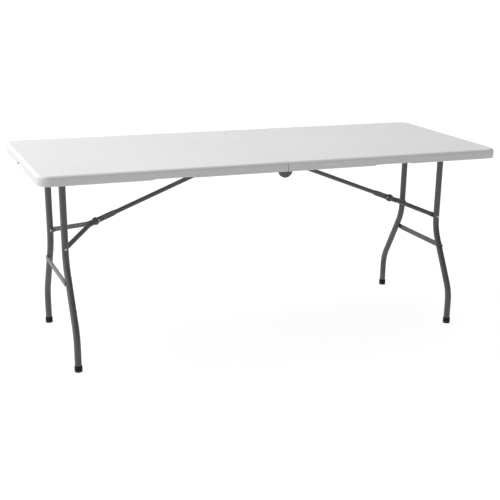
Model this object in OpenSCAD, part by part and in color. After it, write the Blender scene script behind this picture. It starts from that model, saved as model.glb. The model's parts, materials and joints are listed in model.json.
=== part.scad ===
// Fold-in-half table: a moulded top in two halves, two folding leg frames,
// and a jointed Y-shaped brace with a sliding lock ring for each frame.
// Origin: floor level under the middle of the top. +X along the length,
// +Y across the width, +Z up. Sizes in millimetres, legs open.

/* [Table top] */
// Length of the open table
top_length = 1800; // [1760:10:1840]
// Width of the table
top_width = 740; // [730:10:780]
// Height of the top face above the floor
top_height = 740; // [730:5:760]
// Depth of the rim, from the top face to its lower edge
rim_depth = 36; // [34:1:38]
// Width of the rim all round
rim_width = 20; // [16:1:21]
// Thickness of the panel inside the rim
panel_t = 11; // [10:0.5:11.5]
// Plan radius of the four outer corners
corner_r = 45; // [40:1:60]
// Rounding of the top edge
edge_r = 12; // [10:1:15]
// Gap between the two halves
seam_gap = 2; // [1:0.5:3]
// Depth of the pockets between the underside ribs
pocket_depth = 6; // [3:0.5:7]

/* [Rails and centre hinge] */
// Height of a side rail
rail_h = 27.5; // [27:0.5:28]
// Width of a side rail's flanges
rail_w = 12; // [10:1:14]
// Wall of a side rail
rail_wall = 2; // [1.5:0.5:2]
// Drop of the hinge axis below the rim
hinge_drop = 9; // [8:0.5:10]
// Radius of the half-moon hinge plates
moon_r = 28; // [27:0.5:28]
// Thickness of a hinge plate
plate_t = 3; // [2:0.5:3]

/* [Leg frames] */
// Distance of the leg pivot from the middle of the table
leg_pivot_x = 780; // [770:5:785]
// Distance of the leg pivot below the top face
leg_pivot_drop = 29; // [28.5:0.5:30]
// How far a foot stands in from its pivot
foot_inset = 10; // [0:1:14]
// Diameter of a leg tube
leg_d = 25; // [22:1:26]
// Wall of a leg tube
leg_wall = 1.5; // [1:0.1:2]
// Half distance between the tubes of a frame at the top
leg_y = 143; // [135:1:150]
// Height at which the legs start to splay
splay_start_z = 419; // [412:1:420]
// Angle of the splayed stretch
splay_angle = 30; // [26:1:32]
// Length of the straight splayed stretch
splay_length = 184; // [160:2:200]
// Bend radius at the top of the splay
upper_bend_r = 180; // [150:5:200]
// Bend radius at the bottom of the splay
lower_bend_r = 150; // [120:5:170]
// Height of the lower crossbar
crossbar_z = 303; // [290:1:312]

/* [Braces] */
// Distance of a brace rod from the middle of the table
brace_rod_x = 24; // [24:0.5:26]
// Distance of a brace rod below the top face
brace_rod_drop = 23; // [22.5:0.5:23.5]
// Height of the pivot between an arm and its leg tube
arm_pivot_z = 424; // [422:1:430]
// Diameter of the upper brace tube
strut_d = 17; // [14:1:17]
// Diameter of a brace arm
arm_d = 18; // [16:1:18]
// Outer diameter of the lock ring
ring_d = 30.4; // [30:0.2:32]
// Length of the lock ring
ring_len = 14; // [10:1:16]

/* [Carry handle] */
// Width of the hand notch in the end rims
notch_w = 120; // [110:5:130]
// Height of the hand notch
notch_h = 10; // [8:1:11]
// Reach of the carry handle from its pivot
bail_reach = 48; // [40:1:50]

/* [Hidden] */
$fn = 96;
LEFT = -1;
RIGHT = 1;
FRONT = -1;
BACK = 1;
run_gap = 0.05;                            // radial clearance round every pin
cut = 1;                                   // overshoot of a cutting solid
plastic_white = "WhiteSmoke";
steel_grey = "DimGray";
zinc = "Silver";
black = "Black";

// Levels and edges of the top
half_l = top_length / 2;
half_w = top_width / 2;
rim_z = top_height - rim_depth;
ceiling_z = top_height - panel_t;
seam_wall = 8;                             // wall of each half along the seam
plate_slot_y = [330, half_w - rim_width];  // where the seam wall makes room for the plates

// Rails, plates and pins
web_y = 336;                               // outer face of the left half's rail webs
plate_gap = 0.3;
rail_start_x = 42;
rail_end_x = leg_pivot_x + 30;
hinge_z = rim_z - hinge_drop;
moon_top_z = rim_z + 4;
strap_end_x = 110;
strap_start_x = 8;
strap_bottom_z = rim_z - 2;
plate_rivet_x = [60, 95];
screw_x = [150, 380, 610, 745];
screw_d = 4;
pin_d = 8;
rod_d = 8;

// Leg frame, with its pivot as local origin and local -Z down the leg
leg_pivot_z = top_height - leg_pivot_drop;
leg_tilt = asin(foot_inset / leg_pivot_z);
leg_length = leg_pivot_z / cos(leg_tilt);
pivot_tube_d = 27;
stub_d = 12;
crossbar_drop = leg_pivot_z - crossbar_z;
crossbar_h = 21;
crossbar_t = 8;
crossbar_flat_t = 3;
foot_d = 29;
foot_h = 24;
foot_floor = 6;                            // plastic under the end of a leg tube
rivet_d = 6;

// Brace linkage in the XZ plane: rod C, knee K, arm pivot R, leg pivot P.
// Open, C-K-R is one straight line; folded, the knee is turned right round.
arm_pivot_drop = (leg_pivot_z - arm_pivot_z) / cos(leg_tilt);
C = [brace_rod_x, top_height - brace_rod_drop];
P = [leg_pivot_x, leg_pivot_z];
R_open = P - arm_pivot_drop * [sin(leg_tilt), cos(leg_tilt)];
R_folded = P - [arm_pivot_drop, 0];
strut_len = (norm(R_open - C) + norm(R_folded - C)) / 2;
arm_len = (norm(R_open - C) - norm(R_folded - C)) / 2;
brace_dip = atan2(C[1] - R_open[1], R_open[0] - C[0]);

// A half-moon passes inside the circle that the other half's brace rod swings on.
moon_swing_r = norm(C - [0, hinge_z]) - rod_d / 2 - 0.3;

// Brace parts, with the knee as local origin and local +X towards the leg
flat_t = 5;                                // flattened end of the upper tube
flat_h = 22;
flat_from = -58;
flat_taper = 12;
tongue = 24;
strut_overhang = 10;
arm_flat_t = 3.8;
arm_flat_h = 20;
arm_flat_y = 2.8;                          // inner face of an arm's knee end
arm_flat_end = 34;
arm_tube_start = [48, 17.5];
arm_tube_end = [arm_len - 25, leg_y - 25];
arm_eye_y = leg_y - leg_d / 2 - 0.4 - arm_flat_t;
ring_bore_d = ring_d - 4;
ring_x = 12;

// Carry handle
bail_pivot = [half_l - 38, top_height - 19];
bail_y = 50;
bail_d = 6;
bail_r = 12;
grip_d = 13;
clip_t = 7;
clip_y = bail_y - bail_r - 1 - clip_t / 2;

// ---------------------------------------------------------------- helpers

// Parts are drawn for the right half and mirrored for the left one.
module on_side(side) {
    if (side == LEFT) mirror([1, 0, 0]) children();
    else children();
}

module on_row(row) {
    if (row == FRONT) mirror([0, 1, 0]) children();
    else children();
}

// Cylinder along +Y, starting at y
module y_rod(d, y0, y1) {
    translate([0, y1, 0]) rotate([90, 0, 0]) cylinder(d = d, h = y1 - y0);
}

// Rivet or pin head along Y: broad at y0, narrower at y1
module y_head(d, y0, y1) {
    h = abs(y1 - y0);
    translate([0, y0, 0]) rotate([y1 > y0 ? -90 : 90, 0, 0]) {
        cylinder(d = d, h = h / 2);
        translate([0, 0, h / 2]) cylinder(d1 = d, d2 = d * 0.6, h = h / 2);
    }
}

// Points and headings along a bent tube's middle line, which starts at the
// origin along +Z. Each step is [length] for a straight stretch or
// [radius, angle] for a bend towards +X (a negative angle bends back).
function bend_parts(step) = len(step) == 1 ? 1 : ceil(abs(step[1]) / 6);
function step_end(at, heading, step, part) =
    len(step) == 1 ? at + step[0] * part * [sin(heading), cos(heading)]
    : at + sign(step[1]) * step[0] * [cos(heading) - cos(heading + step[1] * part),
                                      sin(heading + step[1] * part) - sin(heading)];
function step_heading(heading, step, part) = len(step) == 1 ? heading : heading + step[1] * part;
function tube_line(steps, i = 0, at = [0, 0], heading = 0) =
    i == len(steps) ? []
    : concat([for (k = [1:bend_parts(steps[i])])
                 let (part = k / bend_parts(steps[i]))
                 [step_end(at, heading, steps[i], part), step_heading(heading, steps[i], part)]],
             tube_line(steps, i + 1, step_end(at, heading, steps[i], 1),
                       step_heading(heading, steps[i], 1)));

// Points of one round section across the middle line
function section(at, heading, r, sides) = [for (j = [0:sides - 1])
    let (a = 360 * j / sides, out = r * cos(a))
    [at[0] + out * cos(heading), r * sin(a), at[1] - out * sin(heading)]];

function quad(a, b, c, d) = [[a, b, c], [a, c, d]];

// Open-ended bent tube, or a solid bent bar where the wall is 0
module bent_tube(steps, d, wall, sides = 24) {
    line = concat([[[0, 0], 0]], tube_line(steps));
    n = len(line);
    outer = [for (p = line) each section(p[0], p[1], d / 2, sides)];
    side_faces = [for (i = [0:n - 2], j = [0:sides - 1])
        let (k = (j + 1) % sides, lo = i * sides, hi = lo + sides)
        each quad(lo + j, hi + j, hi + k, lo + k)];
    if (wall == 0) {
        last = (n - 1) * sides;
        ends = [[for (j = [0:sides - 1]) j], [for (j = [sides - 1:-1:0]) last + j]];
        polyhedron(outer, concat(side_faces, ends));
    } else {
        m = n * sides;
        inner = [for (p = line) each section(p[0], p[1], d / 2 - wall, sides)];
        inner_faces = [for (f = side_faces) [f[2] + m, f[1] + m, f[0] + m]];
        rims = [for (e = [0, n - 1], j = [0:sides - 1])
            let (k = (j + 1) % sides, b = e * sides)
            each e == 0 ? quad(b + j, b + k, b + k + m, b + j + m)
                        : quad(b + k, b + j, b + j + m, b + k + m)];
        polyhedron(concat(outer, inner), concat(side_faces, inner_faces, rims));
    }
}

// Local frames of the moving groups, for the right side
module leg_frame() {
    translate([P[0], 0, P[1]]) rotate([0, leg_tilt, 0]) children();
}

module brace_frame() {
    translate([C[0], 0, C[1]]) rotate([0, brace_dip, 0]) translate([strut_len, 0, 0]) children();
}

// --------------------------------------------------------------- table top

module rim_profile(w) {
    square([w, rim_depth - edge_r]);
    square([w - edge_r, rim_depth]);
    translate([w - edge_r, rim_depth - edge_r]) circle(r = edge_r);
}

module top_block() {
    side_l = half_l - corner_r - seam_gap / 2;
    end_w = half_w - corner_r;
    translate([seam_gap / 2, 0, rim_z]) rotate([90, 0, 90]) linear_extrude(side_l) {
        rim_profile(half_w);
        mirror([1, 0]) rim_profile(half_w);
    }
    translate([half_l - corner_r, end_w, rim_z]) rotate([90, 0, 0])
        linear_extrude(2 * end_w) rim_profile(corner_r);
    for (row = [FRONT, BACK]) on_row(row)
        translate([half_l - corner_r, end_w, rim_z]) rotate_extrude(angle = 90) rim_profile(corner_r);
}

module top_cavity() {
    r = corner_r - rim_width;
    x0 = seam_gap / 2 + seam_wall;
    x1 = half_l - rim_width;
    w = half_w - rim_width;
    translate([0, 0, rim_z - cut]) linear_extrude(ceiling_z - rim_z + cut) {
        translate([x0, -w]) square([x1 - x0 - r, 2 * w]);
        translate([x0, r - w]) square([x1 - x0, 2 * (w - r)]);
        for (y = [r - w, w - r]) translate([x1 - r, y]) circle(r = r);
    }
}

module underside_pockets() {
    nx = 7;
    ny = 6;
    rib = 10;
    x0 = 48;
    y0 = 310;
    dx = (half_l - 60 - x0) / nx;
    dy = 2 * y0 / ny;
    for (i = [0:nx - 1], j = [0:ny - 1])
        translate([x0 + i * dx + rib / 2, -y0 + j * dy + rib / 2, ceiling_z - cut])
            cube([dx - rib, dy - rib, pocket_depth + cut]);
}

module rim_reliefs() {
    grip_x = 430;
    grip_l = 142;
    grip_h = 3.5;
    plate_w = plate_slot_y[1] - plate_slot_y[0];
    translate([half_l - rim_width - cut, -notch_w / 2, rim_z - cut])
        cube([rim_width + 2 * cut, notch_w, notch_h + cut]);
    for (row = [FRONT, BACK]) on_row(row) {
        translate([grip_x - grip_l / 2, half_w - rim_width - cut, rim_z - cut])
            cube([grip_l, rim_width + 2 * cut, grip_h + cut]);
        translate([0, plate_slot_y[0], rim_z - cut])
            cube([seam_wall + 2 * cut, plate_w, ceiling_z - rim_z + cut]);
    }
}

module moulded_top(side) {
    color(plastic_white) on_side(side) difference() {
        top_block();
        top_cavity();
        underside_pockets();
        rim_reliefs();
        at_rail_screws(side) cylinder(d = screw_d + 2 * run_gap, h = 8.5);
        if (side == LEFT) at_clips() clip_posts(2 * run_gap);
    }
}

// ---------------------------------------------------- rails, plates, rods

function rail_face(side) = side == LEFT ? web_y : web_y + plate_t + plate_gap;

module at_rail_screws(side) {
    for (row = [FRONT, BACK], x = screw_x) on_row(row)
        translate([x, rail_face(side) - rail_w / 2, ceiling_z]) children();
}

module rail_screws(side) {
    color(zinc) on_side(side) at_rail_screws(side) {
        translate([0, 0, -1.5]) cylinder(d = screw_d, h = 9.5);
        translate([0, 0, -rail_wall - 2.5]) cylinder(d = 8, h = 2.5);
        translate([0, 0, -rail_wall]) cylinder(d = screw_d, h = rail_wall);
    }
}

module side_rail(side, row) {
    face = rail_face(side);
    color(steel_grey) on_side(side) on_row(row) difference() {
        translate([rail_start_x, face - rail_w, ceiling_z - rail_h])
            cube([rail_end_x - rail_start_x, rail_w, rail_h]);
        translate([rail_start_x - cut, face - rail_w - cut, ceiling_z - rail_h + rail_wall])
            cube([rail_end_x - rail_start_x + 2 * cut, rail_w - rail_wall + cut, rail_h - 2 * rail_wall]);
        translate([P[0], 0, P[1]]) y_rod(stub_d + 2 * run_gap, face - rail_wall - cut, face + cut);
        for (x = screw_x) translate([x, face - rail_w / 2, ceiling_z - rail_wall - cut])
            cylinder(d = screw_d + 2 * run_gap, h = rail_wall + 2 * cut);
        at_plate_rivets() y_rod(rivet_d + 2 * run_gap, face - rail_wall - cut, face + cut);
    }
}

module at_plate_rivets() {
    for (x = plate_rivet_x) translate([x, 0, (strap_bottom_z + ceiling_z) / 2]) children();
}

// Flat half-moon plate with a strap along the rail
module hinge_plate_outline() {
    difference() {
        intersection() {
            translate([0, rim_z]) circle(r = moon_r);
            translate([0, hinge_z]) circle(r = moon_swing_r);
        }
        translate([-2 * moon_r, moon_top_z]) square([4 * moon_r, 2 * moon_r]);
    }
    translate([strap_start_x, strap_bottom_z])
        square([strap_end_x - strap_start_x, ceiling_z - 1 - strap_bottom_z]);
}

module hinge_plates(side) {
    face = rail_face(side);
    color(steel_grey) on_side(side) for (row = [FRONT, BACK]) on_row(row) difference() {
        translate([0, face + plate_t, 0]) rotate([90, 0, 0]) linear_extrude(plate_t) hinge_plate_outline();
        translate([0, 0, hinge_z]) y_rod(pin_d + 2 * run_gap, face - cut, face + plate_t + cut);
        translate([C[0], 0, C[1]]) y_rod(rod_d + 2 * run_gap, face - cut, face + plate_t + cut);
        at_plate_rivets() y_rod(rivet_d + 2 * run_gap, face - cut, face + plate_t + cut);
    }
}

module plate_rivets(side) {
    face = rail_face(side);
    inner = face - rail_wall;
    outer = face + plate_t;
    color(zinc) on_side(side) for (row = [FRONT, BACK]) on_row(row) at_plate_rivets() {
        y_rod(rivet_d, inner, outer);
        y_head(11, inner, inner - 2);
        y_head(11, outer, outer + 2);
    }
}

module hinge_pins() {
    inner = web_y;
    outer = web_y + 2 * plate_t + plate_gap;
    color(zinc) for (row = [FRONT, BACK]) on_row(row) translate([0, 0, hinge_z]) {
        y_rod(pin_d, inner, outer);
        y_head(13, inner, inner - 2.5);
        y_head(13, outer + plate_gap / 2, outer + 2.5);
        y_rod(pin_d, outer, outer + plate_gap / 2);
    }
}

module brace_rod(side) {
    reach = rail_face(side) + plate_t;
    color(zinc) on_side(side) translate([C[0], 0, C[1]]) y_rod(rod_d, -reach, reach);
}

module rod_collars(side) {
    inner = strut_d / 2 + 0.4;
    color(black) on_side(side) for (row = [FRONT, BACK]) on_row(row)
        translate([C[0], 0, C[1]]) difference() {
            y_rod(14, inner, inner + 5);
            y_rod(rod_d + 2 * run_gap, inner - cut, inner + 5 + cut);
        }
}

// ------------------------------------------------------------- leg frames

// One leg tube in the leg frame: straight, splayed, straight again
module leg_tube_body(wall, extra = 0) {
    straight = leg_pivot_z - splay_start_z;
    bends = (upper_bend_r + lower_bend_r) * sin(splay_angle) + splay_length * cos(splay_angle);
    foot_l = leg_length - straight - bends - foot_floor;
    translate([0, leg_y, 0]) rotate([180, 0, 0]) rotate([0, 0, -90])
        bent_tube([[straight], [upper_bend_r, splay_angle], [splay_length],
                   [lower_bend_r, -splay_angle], [foot_l + extra]], leg_d, wall);
}

module leg_tube(side, row) {
    color(steel_grey) on_side(side) on_row(row) leg_frame() difference() {
        leg_tube_body(leg_wall);
        y_rod(pivot_tube_d, leg_y - leg_d, leg_y + leg_d);
        translate([0, 0, -arm_pivot_drop]) {
            y_rod(rivet_d + 2 * run_gap, leg_y - leg_d, leg_y + leg_d);
            y_rod(13, leg_y + leg_d / 2 - 0.8, leg_y + leg_d);
        }
    }
}

// Cross tube that carries the frame and turns in the two rails
module leg_pivot_tube(side) {
    face = rail_face(side);
    color(steel_grey) on_side(side) leg_frame() {
        difference() {
            union() {
                y_rod(pivot_tube_d, -300, 300);
                y_rod(stub_d, -face - 5, face + 5);
            }
            y_rod(pivot_tube_d - 2 * leg_wall, -297, 297);
            y_rod(stub_d - 4, -face - 5 - cut, face + 5 + cut);
        }
    }
}

module leg_push_nuts(side) {
    face = rail_face(side);
    color(black) on_side(side) leg_frame() for (row = [FRONT, BACK]) on_row(row) difference() {
        y_rod(20, face + 0.3, face + 4.3);
        y_rod(stub_d + 2 * run_gap, face - cut, face + 4.3 + cut);
    }
}

module crossbar(side) {
    reach = 186;
    lap_y = 160;
    body_y = 150;
    outer_x = leg_d / 2 + crossbar_flat_t;
    body_x = outer_x - crossbar_t / 2;
    color(steel_grey) on_side(side) leg_frame() difference() {
        translate([0, 0, -crossbar_drop]) {
            translate([body_x, body_y, 0]) rotate([90, 0, 0]) linear_extrude(2 * body_y) {
                square([crossbar_t, crossbar_h - crossbar_t], center = true);
                for (z = [-1, 1] * (crossbar_h - crossbar_t) / 2)
                    translate([0, z]) circle(d = crossbar_t);
            }
            for (row = [FRONT, BACK]) on_row(row) {
                hull() {
                    translate([body_x - crossbar_t / 2, body_y - 1, (crossbar_t - crossbar_h) / 2])
                        cube([crossbar_t, 1, crossbar_h - crossbar_t]);
                    translate([body_x - 1.5, body_y - 1, -crossbar_h / 2]) cube([3, 1, crossbar_h]);
                    translate([outer_x - crossbar_flat_t, lap_y, -crossbar_h / 2])
                        cube([crossbar_flat_t, 1, crossbar_h]);
                }
                translate([outer_x - crossbar_flat_t - 0.5, lap_y, -crossbar_h / 2])
                    cube([crossbar_flat_t + 0.5, reach - lap_y - crossbar_h / 2, crossbar_h]);
                translate([outer_x - crossbar_flat_t - 0.5, reach - crossbar_h / 2, 0])
                    rotate([0, 90, 0]) cylinder(d = crossbar_h, h = crossbar_flat_t + 0.5);
            }
        }
        for (row = [FRONT, BACK]) on_row(row) leg_tube_body(0);
    }
}

// Moulded foot, pushed over the tube's end and flat on the floor
module foot(side, row) {
    splay_y = (upper_bend_r + lower_bend_r) * (1 - cos(splay_angle)) + splay_length * sin(splay_angle);
    y = leg_y + splay_y;
    color(black) on_side(side) on_row(row) intersection() {
        leg_frame() difference() {
            translate([0, y, -leg_length - 3]) {
                cylinder(d = foot_d, h = foot_h);
                translate([0, 0, foot_h]) cylinder(d1 = foot_d, d2 = foot_d - 3, h = 3);
            }
            translate([0, y, -leg_length + foot_floor]) cylinder(d = leg_d + 2 * run_gap, h = foot_h);
        }
        translate([leg_pivot_x - 100, 0, 0]) cube([200, half_w, 100]);
    }
}

module leg_rivets(side) {
    outer = leg_y + leg_d / 2 - 0.8;
    color(zinc) on_side(side) leg_frame() for (row = [FRONT, BACK]) on_row(row)
        translate([0, 0, -arm_pivot_drop]) {
            y_rod(rivet_d, leg_y - leg_d / 2, outer);
            y_head(9.5, outer, outer + 2.4);
        }
}

// ----------------------------------------------------------------- braces

// Upper brace tube: round at the rod, flattened past the knee
module brace_tube(side) {
    back = -strut_len;
    round_to = flat_from - flat_taper;
    color(steel_grey) on_side(side) brace_frame() difference() {
        union() {
            translate([back - strut_overhang, 0, 0]) rotate([0, 90, 0])
                cylinder(d = strut_d, h = round_to - back + strut_overhang);
            hull() {
                translate([round_to - 1, 0, 0]) rotate([0, 90, 0]) cylinder(d = strut_d, h = 1, $fn = 32);
                translate([flat_from, -flat_t / 2, -flat_h / 2]) cube([1, flat_t, flat_h]);
            }
            translate([flat_from, -flat_t / 2, -flat_h / 2]) cube([tongue - 5 - flat_from, flat_t, flat_h]);
            translate([tongue - 5, -flat_t / 2, 5 - flat_h / 2]) cube([5, flat_t, flat_h - 10]);
            for (z = [-1, 1] * (flat_h / 2 - 5))
                translate([tongue - 5, 0, z]) y_rod(10, -flat_t / 2, flat_t / 2);
        }
        y_rod(rivet_d + 2 * run_gap, -flat_t, flat_t);
        translate([back, 0, 0]) y_rod(rod_d + 2 * run_gap, -strut_d, strut_d);
        translate([back - strut_overhang - cut, 0, 0]) rotate([0, 90, 0])
            cylinder(d = strut_d - 3, h = round_to - back + strut_overhang);
    }
}

// One arm of the fork: flat at the knee, round, flat again at the leg
module brace_arm(side, row) {
    run = arm_tube_end - arm_tube_start;
    heading = atan2(run[1], run[0]);
    r = arm_flat_h / 2;
    color(steel_grey) on_side(side) brace_frame() on_row(row) difference() {
        union() {
            y_rod(arm_flat_h, arm_flat_y, arm_flat_y + arm_flat_t);
            translate([0, arm_flat_y, -r]) cube([arm_flat_end, arm_flat_t, arm_flat_h]);
            arm_shank([
                [[arm_flat_end - 1, arm_flat_y + arm_flat_t / 2], 0, 0],
                [[arm_flat_end + 1, arm_flat_y + arm_flat_t / 2 + 0.2], heading * 0.2, 0.05],
                [arm_tube_start - [7, 6.5], heading * 0.6, 0.4],
                [arm_tube_start, heading, 1],
                [arm_tube_end, heading, 1],
                [arm_tube_end + [6, 5.7], heading * 0.6, 0.5],
                [[arm_len - 13, arm_eye_y + arm_flat_t / 2 - 0.3], heading * 0.2, 0.05],
                [[arm_len - 11, arm_eye_y + arm_flat_t / 2], 0, 0],
            ]);
            translate([arm_len - 12, arm_eye_y, -r]) cube([12, arm_flat_t, arm_flat_h]);
            translate([arm_len, 0, 0]) y_rod(arm_flat_h, arm_eye_y, arm_eye_y + arm_flat_t);
        }
        y_rod(rivet_d + 2 * run_gap, 0, arm_flat_y + arm_flat_t + cut);
        translate([arm_len, 0, 0])
            y_rod(rivet_d + 2 * run_gap, arm_eye_y - cut, arm_eye_y + arm_flat_t + cut);
    }
}

// Solid through [middle, heading, roundness] sections, from flat (0) to round (1)
module arm_shank(stations, sides = 24) {
    n = len(stations);
    points = [for (st = stations) each arm_ring(st[0], st[1], st[2], sides)];
    side_faces = [for (i = [0:n - 2], j = [0:sides - 1])
        let (k = (j + 1) % sides, lo = i * sides, hi = lo + sides)
        each quad(lo + j, hi + j, hi + k, lo + k)];
    last = (n - 1) * sides;
    ends = [[for (j = [0:sides - 1]) j], [for (j = [sides - 1:-1:0]) last + j]];
    polyhedron(points, concat(side_faces, ends));
}

function arm_ring(at, heading, roundness, sides) =
    let (t = arm_flat_t - 0.2 + (arm_d - arm_flat_t + 0.2) * roundness,
         h = arm_flat_h - 0.2 + (arm_d - arm_flat_h + 0.2) * roundness,
         corner = 1 + (arm_d / 2 - 1) * roundness)
    [for (j = [0:sides - 1])
        let (a = 360 * (j + 0.5) / sides,
             across = sign(cos(a)) * (t / 2 - corner) + corner * cos(a),
             up = sign(sin(a)) * (h / 2 - corner) + corner * sin(a))
        [at[0] - across * sin(heading), at[1] + across * cos(heading), up]];

module knee_rivet(side) {
    outer = arm_flat_y + arm_flat_t;
    color(zinc) on_side(side) brace_frame() {
        y_rod(rivet_d, -outer, outer);
        y_head(9.5, outer, outer + 2.3);
        y_head(9.5, -outer, -outer - 2.3);
    }
}

// Formed ends of the arm rivets, in the arms' eyes
module arm_rivet_tails(side) {
    color(zinc) on_side(side) brace_frame() translate([arm_len, 0, 0])
        for (row = [FRONT, BACK]) on_row(row) {
            y_rod(rivet_d, arm_eye_y, arm_eye_y + arm_flat_t);
            y_head(9.5, arm_eye_y, arm_eye_y - 2.3);
        }
}

module lock_ring(side) {
    color(steel_grey) on_side(side) brace_frame() translate([ring_x - ring_len / 2, 0, 0])
        rotate([0, 90, 0]) difference() {
            cylinder(d = ring_d, h = ring_len);
            translate([0, 0, -cut]) cylinder(d = ring_bore_d, h = ring_len + 2 * cut);
        }
}

// ----------------------------------------------------------- carry handle

module on_bail_pivot() {
    on_side(LEFT) translate([bail_pivot[0], 0, bail_pivot[1]]) children();
}

// U-shaped rod lying flat under the panel, its ends turned in to the clips
module handle_bail() {
    stub = clip_t + 1;
    side = bail_reach - 2 * bail_r;
    middle = 2 * (bail_y - bail_r);
    color(steel_grey) on_bail_pivot() translate([0, bail_y - bail_r - stub, 0]) rotate([90, 0, 180])
        bent_tube([[stub], [bail_r, 90], [side], [bail_r, 90], [middle],
                   [bail_r, 90], [side], [bail_r, 90], [stub]], bail_d, 0, 12);
}

module handle_grip() {
    color(black) on_bail_pivot() translate([-bail_reach, 0, 0]) difference() {
        y_rod(grip_d, -34, 34);
        y_rod(bail_d + 2 * run_gap, -35, 35);
    }
}

module at_clips() {
    translate([bail_pivot[0], 0, ceiling_z])
        for (row = [FRONT, BACK]) on_row(row) translate([0, clip_y, 0]) children();
}

module clip_posts(play = 0) {
    cylinder(d = 3 + play, h = 6);
}

// Two plastic saddles under the panel that hold the bail's turned-in ends
module handle_clips() {
    drop = ceiling_z - bail_pivot[1];
    color(black) on_side(LEFT) difference() {
        at_clips() {
            translate([-7, -clip_t / 2, -drop - 6]) cube([14, clip_t, drop + 6]);
            clip_posts();
        }
        translate([bail_pivot[0], 0, bail_pivot[1]])
            for (row = [FRONT, BACK]) on_row(row)
                y_rod(bail_d + 2 * run_gap, clip_y - clip_t, clip_y + clip_t);
    }
}

moulded_top(LEFT);  // left_top
side_rail(LEFT, FRONT);  // left_front_rail
side_rail(LEFT, BACK);  // left_back_rail
rail_screws(LEFT);  // left_rail_screws
hinge_plates(LEFT);  // left_hinge_plates
plate_rivets(LEFT);  // left_plate_rivets
brace_rod(LEFT);  // left_brace_rod
rod_collars(LEFT);  // left_rod_collars
moulded_top(RIGHT);  // right_top
side_rail(RIGHT, FRONT);  // right_front_rail
side_rail(RIGHT, BACK);  // right_back_rail
rail_screws(RIGHT);  // right_rail_screws
hinge_plates(RIGHT);  // right_hinge_plates
plate_rivets(RIGHT);  // right_plate_rivets
brace_rod(RIGHT);  // right_brace_rod
rod_collars(RIGHT);  // right_rod_collars
hinge_pins();
leg_tube(LEFT, FRONT);  // left_front_leg_tube
leg_tube(LEFT, BACK);  // left_back_leg_tube
leg_pivot_tube(LEFT);  // left_leg_pivot_tube
leg_push_nuts(LEFT);  // left_leg_push_nuts
crossbar(LEFT);  // left_crossbar
foot(LEFT, FRONT);  // left_front_foot
foot(LEFT, BACK);  // left_back_foot
leg_rivets(LEFT);  // left_leg_rivets
leg_tube(RIGHT, FRONT);  // right_front_leg_tube
leg_tube(RIGHT, BACK);  // right_back_leg_tube
leg_pivot_tube(RIGHT);  // right_leg_pivot_tube
leg_push_nuts(RIGHT);  // right_leg_push_nuts
crossbar(RIGHT);  // right_crossbar
foot(RIGHT, FRONT);  // right_front_foot
foot(RIGHT, BACK);  // right_back_foot
leg_rivets(RIGHT);  // right_leg_rivets
brace_tube(LEFT);  // left_brace_tube
brace_arm(LEFT, FRONT);  // left_front_arm
brace_arm(LEFT, BACK);  // left_back_arm
knee_rivet(LEFT);  // left_knee_rivet
arm_rivet_tails(LEFT);  // left_arm_rivet_tails
lock_ring(LEFT);  // left_lock_ring
brace_tube(RIGHT);  // right_brace_tube
brace_arm(RIGHT, FRONT);  // right_front_arm
brace_arm(RIGHT, BACK);  // right_back_arm
knee_rivet(RIGHT);  // right_knee_rivet
arm_rivet_tails(RIGHT);  // right_arm_rivet_tails
lock_ring(RIGHT);  // right_lock_ring
handle_bail();
handle_grip();
handle_clips();
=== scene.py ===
"""Fold-in-half table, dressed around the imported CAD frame.

The making functions work in millimetres, for the right half, and place()
turns, mirrors and scales each piece into the shared frame.
"""
import json
import math

import bmesh
import bpy
from mathutils import Matrix, Vector


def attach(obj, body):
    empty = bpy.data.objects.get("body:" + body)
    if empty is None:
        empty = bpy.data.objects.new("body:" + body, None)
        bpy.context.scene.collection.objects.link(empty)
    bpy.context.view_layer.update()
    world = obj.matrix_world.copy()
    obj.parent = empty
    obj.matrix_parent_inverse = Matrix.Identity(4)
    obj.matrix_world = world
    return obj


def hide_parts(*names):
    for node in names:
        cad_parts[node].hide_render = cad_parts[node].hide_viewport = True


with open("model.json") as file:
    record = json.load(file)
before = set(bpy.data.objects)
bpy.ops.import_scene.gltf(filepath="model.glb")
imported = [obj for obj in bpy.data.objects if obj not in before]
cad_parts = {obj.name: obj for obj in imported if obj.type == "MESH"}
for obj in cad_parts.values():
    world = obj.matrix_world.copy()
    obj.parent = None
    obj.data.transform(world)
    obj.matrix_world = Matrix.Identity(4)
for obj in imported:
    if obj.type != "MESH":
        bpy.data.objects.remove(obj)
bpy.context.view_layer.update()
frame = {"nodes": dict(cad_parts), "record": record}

MM = 0.001
SIDES = (("left", -1), ("right", 1))
ROWS = (("front", -1), ("back", 1))

# Levels and sizes shared with the CAD, in millimetres
HALF_L, HALF_W, TOP_Z, RIM_Z, CEILING_Z = 900, 370, 740, 704, 729
RIM_W, CORNER_R, EDGE_R, SEAM, SEAM_WALL = 20, 45, 12, 1, 8
LEG_PIVOT = (780, 711)
FOOT_INSET = 10
LEG_D, LEG_Y, LEG_WALL, PIVOT_D = 25, 143, 1.5, 27
BENDS = ((292,), (180, 30), (184,), (150, -30))
FOOT_FLOOR = 6
CROSSBAR_Z, CROSSBAR_H = 303, 21
ROD, ROD_R = (24, 717), 4
HINGE_Z = RIM_Z - 9
RAIL_FACE, RAIL_WIDE = {-1: 336, 1: 339.3}, 12
PLATE_T = 3
ARM_PIVOT_Z = 424

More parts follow.
